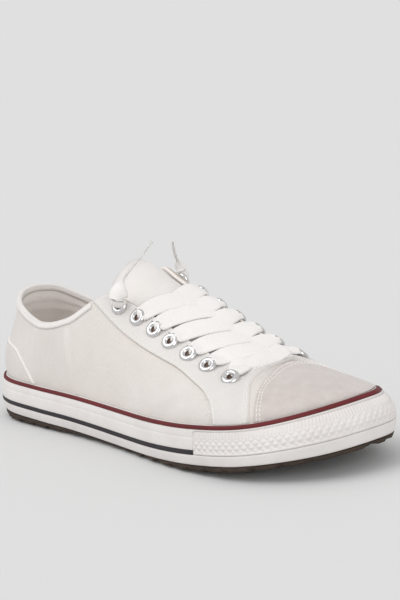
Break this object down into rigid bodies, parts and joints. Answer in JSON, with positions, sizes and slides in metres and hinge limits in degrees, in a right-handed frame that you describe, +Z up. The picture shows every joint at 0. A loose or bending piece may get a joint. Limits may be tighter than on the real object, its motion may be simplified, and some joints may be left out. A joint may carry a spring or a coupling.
{
  "type": "low canvas sneaker",
  "caption": "Right low-top canvas lace-up sneaker with a suede toe cap, rubber cup sole with coloured side stripes and a ribbed toe bumper.",
  "frame": {"origin": "on the floor, under the middle of the shoe's length and width", "axes": "+X to the toe, +Y to the shoe's inner (medial) side, +Z up"},
  "size_m": [0.2742, 0.0965, 0.1066],
  "materials": {
    "canvas": "matte plain weave",
    "white_rubber": "satin",
    "suede": "matte brushed suede",
    "red_rubber": "satin",
    "black_rubber": "satin",
    "eyelet_metal": "polished",
    "lace_cotton": "flat woven cotton",
    "clear_tag": "translucent film",
    "tread_rubber": "matte",
    "lining_cloth": "matte"
  },
  "bodies": {
    "root": {"outsole": "tread_rubber", "midsole": "white_rubber", "toe_bumper": "white_rubber", "red_stripe": "red_rubber", "black_stripe": "black_rubber", "insole": "lining_cloth", "upper": "canvas", "tongue": "canvas", "toe_cap": "suede", "heel_counter": "canvas", "eyestay_lateral": "canvas", "eyestay_medial": "canvas", "collar_binding": "canvas", "eyelet_lateral_1": "eyelet_metal", "eyelet_lateral_2": "eyelet_metal", "eyelet_lateral_3": "eyelet_metal", "eyelet_lateral_4": "eyelet_metal", "eyelet_lateral_5": "eyelet_metal", "eyelet_lateral_6": "eyelet_metal", "eyelet_lateral_7": "eyelet_metal", "eyelet_medial_1": "eyelet_metal", "eyelet_medial_2": "eyelet_metal", "eyelet_medial_3": "eyelet_metal", "eyelet_medial_4": "eyelet_metal", "eyelet_medial_5": "eyelet_metal", "eyelet_medial_6": "eyelet_metal", "eyelet_medial_7": "eyelet_metal", "lace_crossing_1": "lace_cotton", "lace_crossing_2": "lace_cotton", "lace_crossing_3": "lace_cotton", "lace_crossing_4": "lace_cotton", "lace_crossing_5": "lace_cotton", "lace_crossing_6": "lace_cotton", "lace_end_lateral": "lace_cotton", "lace_tag_lateral": "clear_tag", "lace_end_medial": "lace_cotton", "lace_tag_medial": "clear_tag"}
  },
  "joints": []
}
